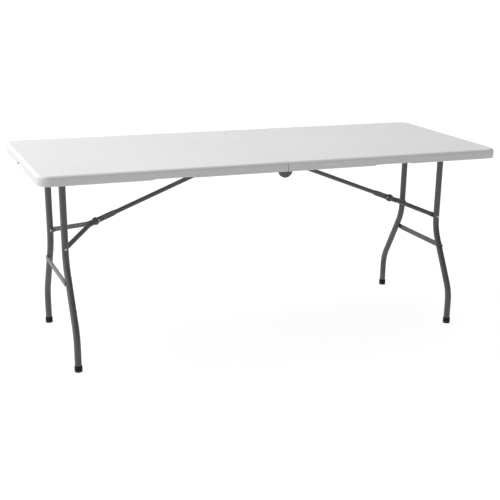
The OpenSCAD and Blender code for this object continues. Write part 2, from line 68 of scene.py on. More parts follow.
# Lengths and angles that follow from them
CROSSBAR_DROP = LEG_PIVOT[1] - CROSSBAR_Z
TILT = math.asin(FOOT_INSET / LEG_PIVOT[1])
LEG_LENGTH = LEG_PIVOT[1] / math.cos(TILT)
ARM_DROP = (LEG_PIVOT[1] - ARM_PIVOT_Z) / math.cos(TILT)
ARM_OPEN = Vector(LEG_PIVOT) - ARM_DROP * Vector((math.sin(TILT), math.cos(TILT)))
ARM_FOLDED = Vector(LEG_PIVOT) - Vector((ARM_DROP, 0))
REACH_OPEN = (ARM_OPEN - Vector(ROD)).length
REACH_FOLDED = (ARM_FOLDED - Vector(ROD)).length
STRUT = (REACH_OPEN + REACH_FOLDED) / 2
ARM = (REACH_OPEN - REACH_FOLDED) / 2
DIP = math.atan2(ROD[1] - ARM_OPEN[1], ARM_OPEN[0] - ROD[0])


# The photograph's viewpoint: metres, degrees, pixels, and shares of the picture
CAMERA_AT = (-1.467, -3.720, 1.443)
YAW_PITCH_ROLL = (22.68, 15.29, 1.01)
FOCAL_PX, PHOTO_PX, SENSOR_MM = 1026.3, 500, 36
LENS_SHIFT = (-0.041, -0.0186)


def camera():
    """The photograph's viewpoint, from a fit to the top's outline and the feet."""
    yaw, pitch, roll = map(math.radians, YAW_PITCH_ROLL)
    level = math.cos(pitch)
    forward = Vector((math.sin(yaw) * level, math.cos(yaw) * level, -math.sin(pitch)))
    right = Vector((math.cos(yaw), -math.sin(yaw), 0))
    up = right.cross(forward)
    right, up = (right * math.cos(roll) + up * math.sin(roll),
                 up * math.cos(roll) - right * math.sin(roll))
    data = bpy.data.cameras.new("camera")
    data.sensor_width = SENSOR_MM
    data.lens = FOCAL_PX / PHOTO_PX * SENSOR_MM
    data.shift_x, data.shift_y = LENS_SHIFT
    data.clip_end = 400
    cam = bpy.data.objects.new("camera", data)
    bpy.context.scene.collection.objects.link(cam)
    pose = Matrix((right, up, -forward)).transposed().to_4x4()
    pose.translation = Vector(CAMERA_AT)
    cam.matrix_world = pose
    bpy.context.scene.camera = cam


camera()

# ---------------------------------------------------------------- materials


RAMP_KEYS = ("From Min", "From Max", "To Min", "To Max")


class Shader:
    """A principled material with a few node shorthands."""

    def __init__(self, name, **constants):
        self.material = bpy.data.materials.new(name)
        self.material.use_nodes = True
        self.tree = self.material.node_tree
        self.bsdf = next(n for n in self.tree.nodes if n.type == "BSDF_PRINCIPLED")
        for key, value in constants.items():
            self.bsdf.inputs[key.replace("_", " ")].default_value = value
        self.coords = self.node("ShaderNodeTexCoord").outputs["Object"]
        self.last_bump = None

    def node(self, kind, links=(), **values):
        n = self.tree.nodes.new(kind)
        for key, value in values.items():
            if hasattr(n, key):
                setattr(n, key, value)
            else:
                n.inputs[key].default_value = value
        for socket, source in links:
            self.tree.links.new(source, n.inputs[socket])
        return n

    def stretched(self, scale):
        mapping = self.node("ShaderNodeMapping", [("Vector", self.coords)])
        mapping.inputs["Scale"].default_value = scale
        return mapping.outputs["Vector"]

    def noise(self, scale, detail=2.0, where=None, roughness=0.5):
        n = self.node("ShaderNodeTexNoise", [("Vector", where or self.coords)],
                      Scale=scale, Detail=detail, Roughness=roughness)
        return n.outputs["Fac"]

    def cells(self, scale, feature="SMOOTH_F1"):
        return self.node("ShaderNodeTexVoronoi", [("Vector", self.coords)],
                         feature=feature, Scale=scale).outputs["Distance"]

    def span(self, value, low, high, start=0.0, end=1.0):
        """value between low and high, spread over start to end."""
        n = self.node("ShaderNodeMapRange", [("Value", value)])
        for key, number in zip(RAMP_KEYS, (low, high, start, end)):
            n.inputs[key].default_value = number
        return n.outputs["Result"]

    def times(self, a, b):
        return self.node("ShaderNodeMath", [(0, a), (1, b)], operation="MULTIPLY").outputs[0]

    def mix(self, factor, a, b):
        n = self.node("ShaderNodeMix", data_type="RGBA")
        self.tree.links.new(factor, n.inputs[0])
        for socket, colour in ((6, a), (7, b)):
            if isinstance(colour, tuple):
                n.inputs[socket].default_value = (*colour, 1)
            else:
                self.tree.links.new(colour, n.inputs[socket])
        return n.outputs[2]

    def bump(self, height, distance, strength=1.0):
        n = self.node("ShaderNodeBump", [("Height", height)], Distance=distance, Strength=strength)
        if self.last_bump:
            self.tree.links.new(self.last_bump, n.inputs["Normal"])
        self.last_bump = n.outputs["Normal"]
        self.tree.links.new(self.last_bump, self.bsdf.inputs["Normal"])

    def link(self, source, socket):
        self.tree.links.new(source, self.bsdf.inputs[socket])


def grey(value, warm=0.0):
    return (value * (1 + warm), value, value * (1 - warm))


def top_plastic():
    s = Shader("top_plastic", Specular_IOR_Level=0.45)
    cloud = s.span(s.noise(3.5, 4), 0.35, 0.65)
    mottle = s.span(s.noise(260, 3), 0.35, 0.65)
    base = s.mix(cloud, grey(0.49), grey(0.515))
    base = s.mix(s.times(mottle, s.span(cloud, 0, 1, 0.35, 0.6)), base, grey(0.465))
    scuffs = s.span(s.noise(9, 6, s.stretched((1, 14, 6)), 0.65), 0.60, 0.72)
    s.link(s.mix(s.times(scuffs, mottle), base, grey(0.57)), "Base Color")
    s.link(s.span(s.noise(40, 4), 0.3, 0.7, 0.46, 0.60), "Roughness")
    s.bump(s.noise(5, 2), 0.0012, 0.25)
    s.bump(s.cells(520), 0.00012, 0.55)
    s.bump(s.noise(1500, 2), 0.00005, 0.4)
    return s.material


def painted_steel(name, tone, rub):
    """Powder coat: orange peel, small speckles, rubbed and dusty patches."""
    s = Shader(name, Metallic=0.0, Specular_IOR_Level=0.3)
    patches = s.span(s.noise(11, 5), 0.35, 0.7)
    speckle = s.span(s.noise(1400, 2), 0.56, 0.72)
    base = s.mix(patches, grey(tone), grey(tone * 1.22))
    base = s.mix(speckle, base, grey(tone * 1.9))
    rubbed = s.span(s.noise(46, 8, s.stretched((1, 1, 0.35)), 0.7), rub, rub + 0.09)
    s.link(s.mix(rubbed, base, grey(tone * 1.7, 0.02)), "Base Color")
    s.link(s.span(s.noise(70, 5), 0.3, 0.7, 0.34, 0.50), "Roughness")
    s.bump(s.cells(620), 0.00010, 0.5)
    s.bump(s.noise(2200, 2), 0.00004, 0.5)
    return s.material


def zinc():
    s = Shader("zinc_hardware", Metallic=1.0)
    spangle = s.span(s.cells(210, "F1"), 0.1, 0.8)
    stain = s.span(s.noise(60, 6), 0.55, 0.75)
    base = s.mix(spangle, grey(0.34, 0.01), grey(0.46, -0.01))
    s.link(s.mix(stain, base, grey(0.26, 0.04)), "Base Color")
    s.link(s.span(s.noise(300, 4), 0.3, 0.7, 0.22, 0.42), "Roughness")
    s.bump(s.noise(900, 4), 0.00004, 0.5)
    return s.material


def moulded_black(name, tone, dust_height):
    """Black plastic, with floor dust up to dust_height metres where it isn't 0."""
    s = Shader(name, Specular_IOR_Level=0.12)
    base = s.mix(s.span(s.noise(90, 5), 0.35, 0.7), grey(tone), grey(tone * 1.8))
    if dust_height:
        z = s.node("ShaderNodeSeparateXYZ", [("Vector", s.coords)]).outputs["Z"]
        low = s.span(z, dust_height, 0)
        base = s.mix(s.times(low, s.span(s.noise(160, 6), 0.4, 0.7)), base, grey(0.16, 0.05))
    scratches = s.span(s.noise(60, 8, s.stretched((1, 1, 9)), 0.7), 0.64, 0.74)
    s.link(s.mix(scratches, base, grey(tone * 4)), "Base Color")
    s.link(s.span(s.noise(120, 4), 0.3, 0.7, 0.42, 0.62), "Roughness")
    s.bump(s.noise(1600, 3), 0.00006, 0.6)
    return s.material


MATERIALS = {
    "top_plastic": top_plastic(),
    "frame_steel": painted_steel("frame_steel", 0.064, 0.60),
    "rail_steel": painted_steel("rail_steel", 0.068, 0.62),
    "zinc_hardware": zinc(),
    "foot_plastic": moulded_black("foot_plastic", 0.006, 0.012),
    "black_plastic": moulded_black("black_plastic", 0.010, 0),
}

# ------------------------------------------------------------- mesh helpers


def smoothstep(t):
    t = min(1.0, max(0.0, t))
    return t * t * (3 - 2 * t)


def fillet(points, closed=True, facet=0.18):
    """2D outline with corners rounded: a point is (x, y) or (x, y, radius).

    facet is the largest turn between two points of a rounding, in radians.
    """
    out = []
    for i, p in enumerate(points):
        here = Vector(p[:2])
        if len(p) < 3 or not closed and i in (0, len(points) - 1):
            out.append(here)
            continue
        a = (Vector(points[i - 1][:2]) - here).normalized()
        b = (Vector(points[(i + 1) % len(points)][:2]) - here).normalized()
        half = a.angle(b) / 2
        centre = here + (a + b).normalized() * p[2] / math.sin(half)
        start = here + a * p[2] / math.tan(half) - centre
        turn = (math.pi - 2 * half) * (1 if start.cross(b) > 0 else -1)
        steps = max(3, math.ceil(abs(turn) / facet))
        out += [centre + Matrix.Rotation(turn * k / steps, 2) @ start for k in range(steps + 1)]
    return out


def rounded_box(w, h, r, steps=6):
    """Closed outline of a w by h box with corner radius r, always 4 * (steps + 1) points."""
    r = min(r, w / 2, h / 2)
    out = []
    for corner, (sx, sy) in enumerate(((1, 1), (-1, 1), (-1, -1), (1, -1))):
        for k in range(steps + 1):
            a = math.pi / 2 * (corner + k / steps)
            out.append(Vector((sx * (w / 2 - r) + r * math.cos(a),
                               sy * (h / 2 - r) + r * math.sin(a))))
    return out


def rectangle(x0, y0, x1, y1):
    return [Vector(p) for p in ((x0, y0), (x1, y0), (x1, y1), (x0, y1))]


def opening(base, r, step=18):
    """(level, inset) pairs of a rounding that leaves base and ends upright."""
    return [(base + r * (1 - math.cos(math.radians(d))), r * (1 - math.sin(math.radians(d))))
            for d in range(0, 91, step)]


def closing(top, r, step=18):
    """(level, outset) pairs of a rounding that starts upright and ends at top."""
    return [(top - r + r * math.sin(math.radians(d)), -r * (1 - math.cos(math.radians(d))))
            for d in range(0, 91, step)]


def loft(loops, closed=False):
    """Skin through equal loops of 3D points, capped unless it closes on itself."""
    bm = bmesh.new()
    rows = [[bm.verts.new(p) for p in loop] for loop in loops]
    n = len(rows[0])
    for a, b in zip(rows, rows[1:] + (rows[:1] if closed else [])):
        for i in range(n):
            bm.faces.new((a[i], a[(i + 1) % n], b[(i + 1) % n], b[i]))
    if not closed:
        bm.faces.new(reversed(rows[0]))
        bm.faces.new(rows[-1])
    bmesh.ops.recalc_face_normals(bm, faces=bm.faces)
    return bm


def lathe(profile, closed=False, sides=48):
    """Turned piece round Z from (radius, z) points."""
    angles = [2 * math.pi * k / sides for k in range(sides)]
    loops = [[(r * math.cos(a), r * math.sin(a), z) for a in angles] for r, z in profile]
    return loft(loops, closed)


def y_lathe(profile, closed=False, sides=40):
    """Turned piece round Y from (radius, y) points."""
    bm = lathe(profile, closed, sides)
    bm.transform(Matrix.Rotation(-math.pi / 2, 4, "X"))
    return bm


def extrude(outline, start, end, axis="Y", edge=0.4):
    """Solid from a 2D outline that runs anticlockwise, its end faces softened by a small edge."""
    n = len(outline)
    inward = []
    for i, p in enumerate(outline):
        a, b = (p - outline[i - 1]).normalized(), (outline[(i + 1) % n] - p).normalized()
        inward.append(Vector((-a.y - b.y, a.x + b.x)).normalized())

    def at(inset, level):
        moved = [p + q * inset for p, q in zip(outline, inward)]
        return [{"X": (level, p.x, p.y), "Y": (p.x, level, p.y), "Z": (p.x, p.y, level)}[axis]
                for p in moved]

    sign = 1 if end > start else -1
    return loft([at(edge, start), at(edge * 0.3, start + sign * edge * 0.3),
                 at(0, start + sign * edge), at(0, end - sign * edge),
                 at(edge * 0.3, end - sign * edge * 0.3), at(edge, end)])


def merged(*parts):
    bm = bmesh.new()
    for part in parts:
        me = bpy.data.meshes.new("part")
        part.to_mesh(me)
        part.free()
        bm.from_mesh(me)
        bpy.data.meshes.remove(me)
    return bm


def copies(bm, matrices):
    out = []
    for m in matrices:
        one = bm.copy()
        one.transform(m)
        if m.determinant() < 0:
            bmesh.ops.reverse_faces(one, faces=one.faces)
        out.append(one)
    bm.free()
    return merged(*out)


def cut(bm, *cutters):
    """bm with every cutter taken away."""
    def temporary(mesh):
        me = bpy.data.meshes.new("cutting")
        mesh.to_mesh(me)
        mesh.free()
        ob = bpy.data.objects.new("cutting", me)
        bpy.context.scene.collection.objects.link(ob)
        return ob

    ob = temporary(bm)
    tools = [temporary(c) for c in cutters]
    for tool in tools:
        mod = ob.modifiers.new("cut", "BOOLEAN")
        mod.operation, mod.solver, mod.object = "DIFFERENCE", "MANIFOLD", tool
    me = bpy.data.meshes.new_from_object(ob.evaluated_get(bpy.context.evaluated_depsgraph_get()))
    out = bmesh.new()
    out.from_mesh(me)
    for o in [ob, *tools]:
        bpy.data.objects.remove(o)
    bpy.data.meshes.remove(me)
    return out


def sweep(points, radii, across, closed=False, sides=20):
    """Round section along 3D points; across(i) gives each section's two directions."""
    loops = []
    for i, p in enumerate(points):
        u, v = across(i)
        r = radii(i) if callable(radii) else radii
        loops.append([p + u * r * math.cos(a) + v * r * math.sin(a)
                      for a in (2 * math.pi * k / sides for k in range(sides))])
    return loft(loops, closed)


def bent_line(steps, spacing=32, turn=2.5):
    """2D points and headings along straights (length,) and bends (radius, degrees).

    Points are about spacing millimetres apart on a straight, and at most turn degrees in a bend.
    """
    line, at, heading = [(Vector((0, 0)), 0.0)], Vector((0, 0)), 0.0
    for step in steps:
        if len(step) == 1:
            n = max(1, round(step[0] / spacing))
            start = at
            for k in range(1, n + 1):
                at = start + Vector((math.sin(heading), math.cos(heading))) * step[0] * k / n
                line.append((at, heading))
        else:
            radius, angle = step[0], math.radians(step[1])
            n = math.ceil(abs(step[1]) / turn)
            side = math.copysign(1, angle)
            centre = at + side * radius * Vector((math.cos(heading), -math.sin(heading)))
            for k in range(1, n + 1):
                h = heading + angle * k / n
                at = centre - side * radius * Vector((math.cos(h), -math.sin(h)))
                line.append((at, h))
            heading += angle
    return line


def place(name, bm, body, slot, replaces, matrix=None, angle=32):
    """Makes the object, in metres, rides it on its body and gives it its material."""
    if matrix is not None:
        bm.transform(matrix)
        if matrix.determinant() < 0:
            bmesh.ops.reverse_faces(bm, faces=bm.faces)
    bm.transform(Matrix.Scale(MM, 4))
    me = bpy.data.meshes.new(name)
    bm.to_mesh(me)
    bm.free()
    me.shade_smooth()
    me.set_sharp_from_angle(angle=math.radians(angle))
    me.materials.append(MATERIALS[slot])
    ob = bpy.data.objects.new(name, me)
    bpy.context.scene.collection.objects.link(ob)
    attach(ob, body)
    if replaces:
        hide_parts(*replaces)


def side_matrix(side, row=1):
    return Matrix.Diagonal((side, row, 1, 1))


def both_rows(bm):
    return copies(bm, [side_matrix(1), side_matrix(1, -1)])


LEG_FRAME = Matrix.Translation((LEG_PIVOT[0], 0, LEG_PIVOT[1])) @ Matrix.Rotation(TILT, 4, "Y")
BRACE_FRAME = (Matrix.Translation((ROD[0], 0, ROD[1])) @ Matrix.Rotation(DIP, 4, "Y")
               @ Matrix.Translation((STRUT, 0, 0)))

# ---------------------------------------------------------------- table top


def plan(x0, x1, half_w, seam_r, end_r, steps=10):
    """Plan outline of a half: rounded corners at the end, small ones at the seam."""
    out = []
    for cx, cy, r, first in ((x1 - end_r, half_w - end_r, end_r, 0),
                             (x0 + seam_r, half_w - seam_r, seam_r, 90),
                             (x0 + seam_r, seam_r - half_w, seam_r, 180),
                             (x1 - end_r, end_r - half_w, end_r, 270)):
        for k in range(steps + 1):
            a = math.radians(first + 90 * k / steps)
            out.append((cx + r * math.cos(a), cy + r * math.sin(a)))
    return out


def top_shell():
    """Solid outside of a half: soft lower edge, round upper edge, small radius at the seam."""
    seam_r, low_r = 1.2, 2.5
    levels = [(RIM_Z, low_r + 1)] + opening(RIM_Z, low_r)
    start = TOP_Z - EDGE_R
    levels += [(start + EDGE_R * math.sin(a), EDGE_R * (1 - math.cos(a)))
               for a in map(math.radians, (*range(0, 67, 6), *range(70, 91, 4)))]
    levels.append((TOP_Z, EDGE_R + 1.5))
    loops = []
    for z, inset in levels:
        rise = z - (TOP_Z - seam_r)
        seam_in = seam_r - math.sqrt(max(0, seam_r ** 2 - rise ** 2)) if rise > 0 else 0
        if z < RIM_Z + low_r:
            seam_in = min(inset, seam_r) * 0.6
        if inset > EDGE_R + 1:
            seam_in = seam_r + 1.5
        loops.append([(x, y, z) for x, y in plan(SEAM + seam_in, HALF_L - inset, HALF_W - inset,
                                                  seam_r, CORNER_R - inset)])
    return loft(loops)


def top_hollow():
    """What is taken out inside the rim, flared at the rim's foot and filleted at the ceiling."""
    flare, fillet_r, seam_r, end_r = 2.5, 4.0, 6, CORNER_R - RIM_W
    levels = [(RIM_Z - 2, flare)] + opening(RIM_Z, flare) + closing(CEILING_Z, fillet_r)
    return loft([[(x, y, z) for x, y in plan(SEAM + SEAM_WALL - out, HALF_L - RIM_W + out,
                                              HALF_W - RIM_W + out, seam_r + out, end_r + out)]
                 for z, out in levels])


def pockets():
    """What is taken out of the ceiling between its ribs."""
    nx, ny, rib, x0, y0, depth, end_margin = 7, 6, 10, 48, 310, 6, 60
    dx, dy = (HALF_L - end_margin - x0) / nx, 2 * y0 / ny
    lip, root, corner = 1.2, 2.5, 9
    levels = [(CEILING_Z - 1, lip)] + opening(CEILING_Z, lip, 30)
    levels += closing(CEILING_Z + depth, root, 30)
    one = loft([[(p.x, p.y, z)
                 for p in rounded_box(dx - rib + 2 * out, dy - rib + 2 * out, corner + out)]
                for z, out in levels])
    return copies(one, [Matrix.Translation((x0 + (i + 0.5) * dx, -y0 + (j + 0.5) * dy, 0))
                        for i in range(nx) for j in range(ny)])


def rim_recess(length, height, low_r, high_r):
    """Cutter along Y for a shallow recess in the lower edge of a rim lying at y 0 to RIM_W."""
    soft, wing, low, level = 1.6, 12, RIM_Z - 6, RIM_Z - 0.02
    mouth = [(-1, soft), (0, soft), (0.25, 0.85 * soft), (0.7, 0.4 * soft), (soft, 0)]
    rows = []
    for y, out in mouth + [(RIM_W - y, out) for y, out in reversed(mouth)]:
        a, roof = length / 2 + out, RIM_Z + (height + out)
        outline = fillet([(-a - wing, low), (-a - wing, level), (-a, level, low_r), (-a, roof, high_r),
                          (a, roof, high_r), (a, level, low_r), (a + wing, level), (a + wing, low)])
        rows.append([(p.x, y, p.y) for p in outline])
    return loft(rows)


def half_top():
    """A half with two shallow grips, the notch at its end and the slots for the half-moons."""
    grip_x = 430
    bm = cut(top_shell(), top_hollow())
    bm = cut(bm, pockets())
    grips = copies(rim_recess(142, 3.5, 1.6, 1.6), [Matrix.Translation((grip_x, y, 0))
                                                    for y in (HALF_W - RIM_W, -HALF_W)])
    notch = rim_recess(120, 10, 3, 5)
    notch.transform(Matrix.Translation((HALF_L - RIM_W, 0, 0))
                    @ Matrix.Rotation(-math.pi / 2, 4, "Z"))
    slot = extrude(rectangle(-2, 330, 16, 350), RIM_Z - 2, CEILING_Z, "Z", 0.01)
    return cut(bm, grips, notch, both_rows(slot))


for label, side in SIDES:
    place(label + "_top_shell", half_top(), label + "_half", "top_plastic", [label + "_top"],
          side_matrix(side), 28)

# -------------------------------------------- rails, plates, rods, fasteners


def dome(radius, base, height):
    """(radius, y) points of a rivet head that stands on base and ends at base + height."""
    wall = 0.22
    return [(radius, base), (radius, base + wall * height)] + [
        (radius * math.cos(a), base + height * (wall + (1 - wall) * math.sin(a)))
        for a in map(math.radians, (12, 24, 36, 48, 60, 72, 83))]


def stud(shank, inner, outer, heads):
    """Rivet or pin along Y with a dome on each end that heads gives as (radius, height) or None."""
    low, high = heads
    profile = [(shank, inner), (shank, outer)]
    if low:
        profile = dome(low[0], inner, -low[1])[::-1] + profile
    if high:
        profile += dome(high[0], outer, high[1])
    return y_lathe(profile, sides=32)


def rail(side):
    """Channel with its open side towards the middle, and a hole for the leg's pivot."""
    face, high, low, wall = RAIL_FACE[side], CEILING_Z, CEILING_Z - 27.5, 2
    inner = face - RAIL_WIDE
    outline = fillet([(inner, high), (inner, high - wall), (face - wall, high - wall, 0.8),
                      (face - wall, low + wall, 0.8), (inner, low + wall), (inner, low),
                      (face, low, 2.6), (face, high, 2.6)])
    bm = extrude(outline, 42, LEG_PIVOT[0] + 30, "X", 0.3)
    hole = y_lathe([(6.05, face - 6), (6.05, face + 4)])
    hole.transform(Matrix.Translation((LEG_PIVOT[0], 0, LEG_PIVOT[1])))
    return cut(bm, hole)


def screws(side):
    """Pan heads with a cross recess; each pair is turned further than the one before."""
    head = lathe([(3.9, -2), (3.95, -2.5), (3.8, -3.2), (3.3, -3.9), (2.3, -4.4), (1.2, -4.5)][::-1]
                 + [(2, -2), (2, 8)], sides=28)
    blades = []
    for turn in (0, math.pi / 2):
        blade = extrude(rectangle(-2.1, -0.45, 2.1, 0.45), -6, -3.1, "Z", 0.01)
        blade.transform(Matrix.Rotation(turn, 4, "Z"))
        blades.append(blade)
    head = cut(head, *blades)
    y = RAIL_FACE[side] - RAIL_WIDE / 2
    return copies(head, [Matrix.Translation((x, row * y, CEILING_Z))
                         @ Matrix.Rotation(math.radians(37 * i), 4, "Z")
                         for i, x in enumerate((150, 380, 610, 745)) for row in (-1, 1)])


def hinge_plates(side):
    """Half-moon below the rim, drawn in where the other half's rod swings past, and its strap."""
    face, r, rise, drop, gap, end = RAIL_FACE[side], 28, 4, 2, 0.4, 110
    low, high = RIM_Z - drop, CEILING_Z - 1
    swing = math.hypot(ROD[0], ROD[1] - HINGE_Z) - (ROD_R + gap)
    arc = []
    for a in map(math.radians, (180 - math.degrees(math.asin(rise / r)), *range(180, 356, 5))):
        x, z = r * math.cos(a), RIM_Z + r * math.sin(a) - HINGE_Z
        k = min(1, swing / math.hypot(x, z))
        arc.append((x * k, HINGE_Z + z * k))
    outline = fillet([*arc, (math.sqrt(r * r - drop * drop), low), (end, low, 5), (end, high, 5),
                      (8, high, 2), (8, RIM_Z + rise, 1.5)])
    return both_rows(extrude(outline, face, face + PLATE_T, "Y", 0.35))


def plate_rivets(side):
    face = RAIL_FACE[side]
    one = stud(3, face - 2, face + PLATE_T, ((5.5, 2), (5.5, 2)))
    z = (RIM_Z - 2 + CEILING_Z) / 2
    return both_rows(copies(one, [Matrix.Translation((x, 0, z)) for x in (60, 95)]))


def brace_rod(side):
    end, chamfer = RAIL_FACE[side] + PLATE_T, 0.7
    bm = y_lathe([(ROD_R - chamfer, -end), (ROD_R, -end + chamfer), (ROD_R, end - chamfer),
                  (ROD_R - chamfer, end)])
    bm.transform(Matrix.Translation((ROD[0], 0, ROD[1])))
    return bm


def collars():
    inner, bore, r = 8.4, ROD_R + 0.05, 7
    one = y_lathe([(bore, inner), (6.4, inner), (r, inner + 0.6), (r, inner + 4.4),
                   (6.4, inner + 5), (bore, inner + 5)], closed=True)
    one.transform(Matrix.Translation((ROD[0], 0, ROD[1])))
    return both_rows(one)


for label, side in SIDES:
    half = label + "_half"
    for row_label, row in ROWS:
        name = f"{label}_{row_label}_rail"
        place(name + "_channel", rail(side), half, "rail_steel", [name], side_matrix(side, row))
    place(label + "_screws", screws(side), half, "zinc_hardware", [label + "_rail_screws"],
          side_matrix(side))
    place(label + "_half_moons", hinge_plates(side), half, "rail_steel", [label + "_hinge_plates"],
          side_matrix(side))
    place(label + "_plate_studs", plate_rivets(side), half, "zinc_hardware", [label + "_plate_rivets"],
          side_matrix(side))
    place(label + "_rod", brace_rod(side), half, "zinc_hardware", [label + "_brace_rod"],
          side_matrix(side))
    place(label + "_collars", collars(), half, "black_plastic", [label + "_rod_collars"],
          side_matrix(side))

pin = stud(4, RAIL_FACE[-1], RAIL_FACE[1] + PLATE_T + 0.1, ((6.5, 2.5), (6.5, 2.4)))
pin.transform(Matrix.Translation((0, 0, HINGE_Z)))
place("centre_pins", both_rows(pin), "left_half", "rail_steel", ["hinge_pins"])

# ------------------------------------------------------------- leg frames

SPLAY = math.radians(BENDS[1][1])
BEND_DROP = (BENDS[1][0] + BENDS[3][0]) * math.sin(SPLAY) + BENDS[2][0] * math.cos(SPLAY)
LEG_LINE = bent_line(BENDS + ((LEG_LENGTH - BENDS[0][0] - BEND_DROP - FOOT_FLOOR,),))
FOOT_Y = LEG_Y + LEG_LINE[-1][0].x


def leg_tube(sides=40):
    """Bent tube in the leg frame, open at its foot and coped round the pivot tube."""
    def ring(at, heading, r):
        return [(r * math.sin(a), LEG_Y + at.x + r * math.cos(a) * math.cos(heading),
                 -at.y + r * math.cos(a) * math.sin(heading))
                for a in (2 * math.pi * k / sides for k in range(sides))]

    r = LEG_D / 2
    loops = [ring(at, h, r) for at, h in LEG_LINE]
    loops += [ring(at, h, r - LEG_WALL) for at, h in reversed(LEG_LINE)]
    pivot = y_lathe([(PIVOT_D / 2, 100), (PIVOT_D / 2, 190)], sides=64)
    return cut(loft(loops, closed=True), pivot)


def pivot_weld():
    """Rippled bead round the joint of a leg tube and the pivot tube."""
    n, leg_r, pivot_r = 180, LEG_D / 2, PIVOT_D / 2
    points, outward = [], []
    for k in range(n):
        a = 2 * math.pi * k / n
        x = leg_r * math.cos(a)
        points.append(Vector((x, LEG_Y + leg_r * math.sin(a), -math.sqrt(pivot_r ** 2 - x * x))))
        outward.append(Vector((math.cos(a), math.sin(a), 0)))
    return sweep(points, lambda i: 1.7 + 0.22 * math.sin(i * 2 * math.pi / 5),
                 lambda i: (outward[i], Vector((0, 0, 1))), closed=True, sides=10)


def leg_y_at(drop):
    """Where the middle of the leg tube is, drop below the pivot."""
    for (a, _), (b, _) in zip(LEG_LINE, LEG_LINE[1:]):
        if a.y <= drop <= b.y:
            return LEG_Y + a.x + (b.x - a.x) * (drop - a.y) / (b.y - a.y)
    return FOOT_Y


def crossbar():
    """Flat-oval bar, squeezed flat where it laps each leg tube."""
    high, thick, flat, end, lap, taper = CROSSBAR_H, 8, 3, 186, 160, 12
    outer, bulge, corner = LEG_D / 2 + flat, 1.2, 2.9
    stations = []
    for a in map(math.radians, (84, 72, 60, 48, 36, 24, 12, 0)):
        stations.append((end - high / 2 + high / 2 * math.sin(a), high * math.cos(a), flat))
    for k in range(9):
        stations.append((lap - taper * k / 8, high + bulge * math.sin(math.pi * k / 8),
                         flat + (thick - flat) * smoothstep(k / 8)))
    stations += [(y, high, thick) for y in (142, 100, 50)]
    stations += [(-y, h, t) for y, h, t in reversed(stations)]
    return loft([[(outer - t / 2 + p.x, y, p.y - CROSSBAR_DROP)
                  for p in rounded_box(t, h, min(corner, t / 2 - 0.05))] for y, h, t in stations])


def crossbar_weld():
    """Bead along the upper edge of the crossbar, where it laps the leg tube."""
    drop, n, start, length, proud = CROSSBAR_DROP - (CROSSBAR_H / 2 + 0.3), 30, 164, 13, 0.4
    centre = leg_y_at(drop)
    points = []
    for k in range(n + 1):
        y = start + length * k / n
        across = (y - centre) * math.cos(SPLAY)
        points.append(Vector((math.sqrt(max(0, (LEG_D / 2) ** 2 - across ** 2)) + proud, y, -drop)))
    radii = [0.5 + 1.1 * math.sin(math.pi * i / n) ** 0.5 + 0.18 * math.sin(i * 1.3)
             for i in range(n + 1)]
    return sweep(points, lambda i: radii[i],
                 lambda i: (Vector((1, 0, 0)), Vector((0, 0, 1))), sides=10)


def foot():
    """Moulded cup over the end of a leg tube, flat on the floor."""
    bore = LEG_D / 2 + 0.08
    r, groove = 14.5, 14.22
    profile = [(12.7, -1), (13.7, 0.2), (14.3, 1.4), (r, 3), (r, 6.8), (groove, 7.2), (groove, 7.9),
               (r, 8.3), (r, 12.2), (groove, 12.6), (groove, 13.3), (r, 13.7), (r, 20.6), (14.2, 22.4),
               (13.6, 23.4), (13.1, 23.7), (bore, 23.4), (bore, FOOT_FLOOR)]
    bm = lathe([(r, z - LEG_LENGTH) for r, z in profile], sides=56)
    bm.transform(LEG_FRAME @ Matrix.Translation((0, FOOT_Y, 0)))
    for v in bm.verts:
        v.co.z = max(0, v.co.z)
    return bm


def push_nuts(side):
    face = RAIL_FACE[side]
    profile = ((6.05, 0.3), (9.4, 0.3), (10, 0.8), (10, 1.3), (8.4, 1.7), (7.9, 3.2), (7.2, 4.1),
               (6.5, 4.3), (6.05, 4.1))
    return both_rows(y_lathe([(r, face + y) for r, y in profile], closed=True))


def pivot_tube(side):
    """Tube across the frame, with a bore, and narrower ends that run through the rails."""
    end, neck, shoulder, r = RAIL_FACE[side] + 5, 6, 300, PIVOT_D / 2
    half = [(4, end), (neck - 0.6, end), (neck, end - 0.6), (neck, shoulder), (r - 0.7, shoulder),
            (r, shoulder - 0.7)]
    return y_lathe(half + [(radius, -y) for radius, y in reversed(half)], closed=True, sides=64)


for label, side in SIDES:
    frame_body = label + "_leg_frame"
    for row_label, row in ROWS:
        where = side_matrix(side, row) @ LEG_FRAME
        stem = f"{label}_{row_label}_"
        place(stem + "leg", leg_tube(), frame_body, "frame_steel", [stem + "leg_tube"], where, 40)
        place(stem + "pivot_weld", pivot_weld(), frame_body, "frame_steel", None, where, 60)
        place(stem + "crossbar_weld", crossbar_weld(), frame_body, "frame_steel", None, where, 60)
        place(stem + "foot_cup", foot(), frame_body, "foot_plastic", [stem + "foot"],
              side_matrix(side, row), 40)
    where = side_matrix(side) @ LEG_FRAME
    place(label + "_pivot_tube", pivot_tube(side), frame_body, "frame_steel",
          [label + "_leg_pivot_tube"], where)
    place(label + "_push_nuts", push_nuts(side), frame_body, "black_plastic",
          [label + "_leg_push_nuts"], where)
    place(label + "_bar", crossbar(), frame_body, "frame_steel", [label + "_crossbar"], where, 40)
    rivet = stud(3, LEG_Y - LEG_D / 2, LEG_Y + LEG_D / 2 - 0.8, (None, (4.75, 2.4)))
    rivet.transform(Matrix.Translation((0, 0, -ARM_DROP)))
    place(label + "_leg_studs", both_rows(rivet), frame_body, "zinc_hardware",
          [label + "_leg_rivets"], where)

# ------------------------------------------------------------------ braces

ARM_FLAT_T, ARM_KNEE_Y = 3.8, 2.8
ARM_EYE_Y = LEG_Y - LEG_D / 2 - 0.4 - ARM_FLAT_T


